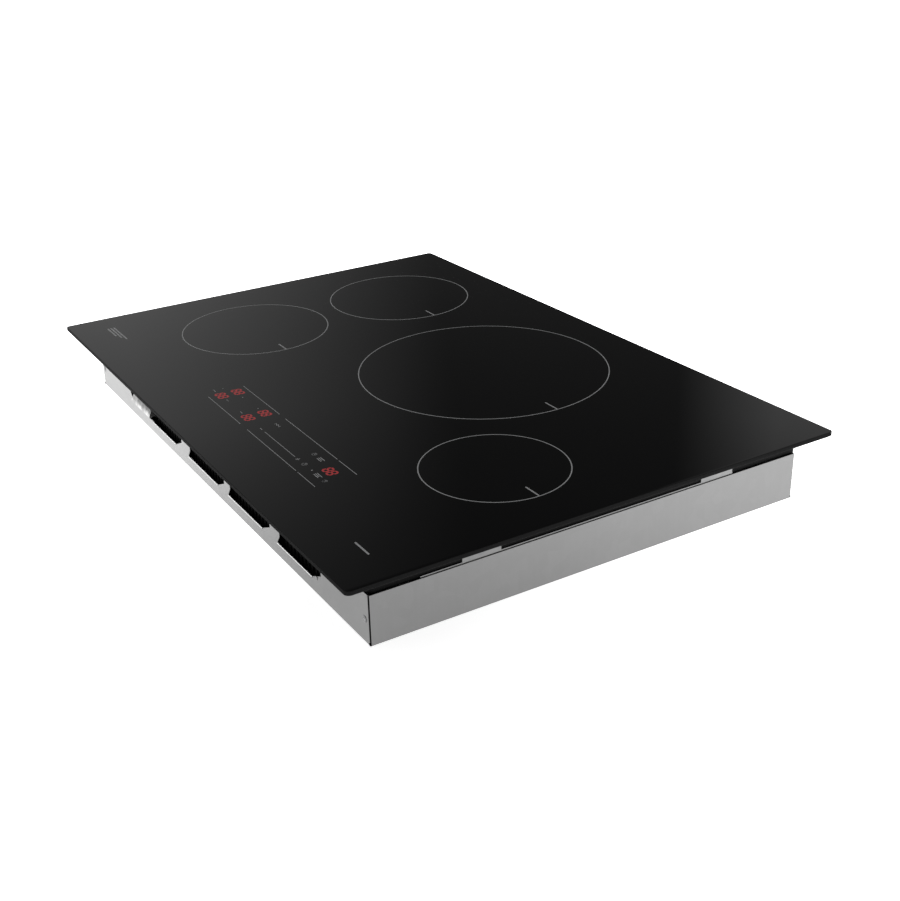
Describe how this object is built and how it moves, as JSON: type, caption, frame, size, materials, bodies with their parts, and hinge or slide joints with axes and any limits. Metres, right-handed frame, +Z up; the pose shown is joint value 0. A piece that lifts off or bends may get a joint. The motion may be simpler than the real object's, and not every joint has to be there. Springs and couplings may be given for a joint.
{
  "type": "induction cooktop",
  "caption": "Built-in induction cooktop: black glass with printed cooking zones and touch controls over a shallow steel case with sprung coils, boards, fans and air notches.",
  "frame": {"origin": "on the tray floor, under the centre of the glass", "axes": "+X along the worktop to the user's right, +Y from the user's front edge to the back, +Z up"},
  "size_m": [0.762, 0.54, 0.077],
  "materials": {
    "black_glass": "black glass-ceramic, high gloss",
    "seal_foam": "matt foam",
    "black_frame": "fine matt black",
    "case_steel": "light grey satin sheet",
    "inner_steel": "zinc coated sheet",
    "black_plastic": "moulded black",
    "rotor_plastic": "moulded dark grey",
    "aluminium_sheet": "rolled mill finish",
    "screw_steel": "zinc plated",
    "spring_steel": "bright spring steel",
    "coil_disc": "stamped disc",
    "ferrite": "sintered dark grey",
    "carrier_plastic": "moulded cream",
    "copper_winding": "enamelled copper strand",
    "sensor_ceramic": "white fired",
    "mica": "pressed mica sheet",
    "circuit_board": "green solder mask",
    "display_red": "dark red window",
    "touch_rubber": "conductive foam",
    "white_plastic": "moulded white",
    "heat_sink_metal": "extruded",
    "component_black": "moulded epoxy",
    "capacitor_blue": "dipped film",
    "lead_red": "silicone insulation",
    "ribbon_grey": "flat ribbon"
  },
  "bodies": {
    "case": {"glass_top": "black_glass", "worktop_seal": "seal_foam", "glass_frame": "black_frame", "tray": "case_steel", "side_panel_left": "case_steel", "side_panel_right": "case_steel", "plate_rail_left": "inner_steel", "plate_rail_right": "inner_steel", "front_air_baffle": "black_plastic", "coil_plate": "aluminium_sheet", "case_screws": "screw_steel", "plate_screws": "screw_steel", "clip_feet": "inner_steel", "coil_springs_1": "spring_steel", "coil_springs_2": "spring_steel", "coil_springs_3": "spring_steel", "coil_springs_4": "spring_steel", "mica_sheets": "mica", "touch_holder": "black_plastic", "touch_board": "circuit_board", "display_modules": "display_red", "touch_pads": "touch_rubber", "power_boards": "circuit_board", "board_carriers": "white_plastic", "heat_sinks": "heat_sink_metal", "power_transistors": "component_black", "capacitors": "capacitor_blue", "choke_coils": "copper_winding", "air_ducts": "black_plastic", "fan_housing_left": "black_plastic", "fan_housing_right": "black_plastic", "filter_board": "circuit_board", "terminal_block": "white_plastic", "cable_gland": "black_plastic", "coil_leads": "lead_red", "ribbon_cable": "ribbon_grey"},
    "coil_unit_1": {"coil_base_1": "coil_disc", "coil_ferrites_1": "ferrite", "coil_carrier_1": "carrier_plastic", "coil_winding_1": "copper_winding", "coil_sensor_1": "sensor_ceramic"},
    "coil_unit_2": {"coil_base_2": "coil_disc", "coil_ferrites_2": "ferrite", "coil_carrier_2": "carrier_plastic", "coil_winding_2": "copper_winding", "coil_sensor_2": "sensor_ceramic"},
    "coil_unit_3": {"coil_base_3": "coil_disc", "coil_ferrites_3": "ferrite", "coil_carrier_3": "carrier_plastic", "coil_winding_3": "copper_winding", "coil_sensor_3": "sensor_ceramic"},
    "coil_unit_4": {"coil_base_4": "coil_disc", "coil_ferrites_4": "ferrite", "coil_carrier_4": "carrier_plastic", "coil_winding_4": "copper_winding", "coil_sensor_4": "sensor_ceramic"},
    "fan_left": {"fan_rotor_left": "rotor_plastic"},
    "fan_right": {"fan_rotor_right": "rotor_plastic"},
    "front_clip": {"front_clip_leaf": "spring_steel"},
    "rear_clip": {"rear_clip_leaf": "spring_steel"}
  },
  "joints": [
    {"name": "coil_1_float", "type": "slide", "parent": "case", "child": "coil_unit_1", "axis": [0, 0, 1], "range_m": [-0.003, 0], "stiffness_N_per_m": 6000, "springref_m": 0.004, "deforming": ["coil_springs_1"]},
    {"name": "coil_2_float", "type": "slide", "parent": "case", "child": "coil_unit_2", "axis": [0, 0, 1], "range_m": [-0.003, 0], "stiffness_N_per_m": 6000, "springref_m": 0.004, "deforming": ["coil_springs_2"]},
    {"name": "coil_3_float", "type": "slide", "parent": "case", "child": "coil_unit_3", "axis": [0, 0, 1], "range_m": [-0.003, 0], "stiffness_N_per_m": 6000, "springref_m": 0.004, "deforming": ["coil_springs_3"]},
    {"name": "coil_4_float", "type": "slide", "parent": "case", "child": "coil_unit_4", "axis": [0, 0, 1], "range_m": [-0.003, 0], "stiffness_N_per_m": 6000, "springref_m": 0.004, "deforming": ["coil_springs_4"]},
    {"name": "fan_left_spin", "type": "hinge", "parent": "case", "child": "fan_left", "pos_m": [-0.19, 0.165, 0.016], "axis": [0, 0, 1], "continuous": true},
    {"name": "fan_right_spin", "type": "hinge", "parent": "case", "child": "fan_right", "pos_m": [0.1, 0.165, 0.016], "axis": [0, 0, 1], "continuous": true},
    {"name": "front_clip_flex", "type": "hinge", "parent": "case", "child": "front_clip", "pos_m": [-0.2035, -0.2359, 0.0094], "axis": [-1, 0, 0], "range_deg": [0, 8], "stiffness_Nm_per_rad": 3, "springref_deg": -1.72},
    {"name": "rear_clip_flex", "type": "hinge", "parent": "case", "child": "rear_clip", "pos_m": [-0.2035, 0.2454, 0.0094], "axis": [1, 0, 0], "range_deg": [0, 8], "stiffness_Nm_per_rad": 3, "springref_deg": -1.72}
  ]
}
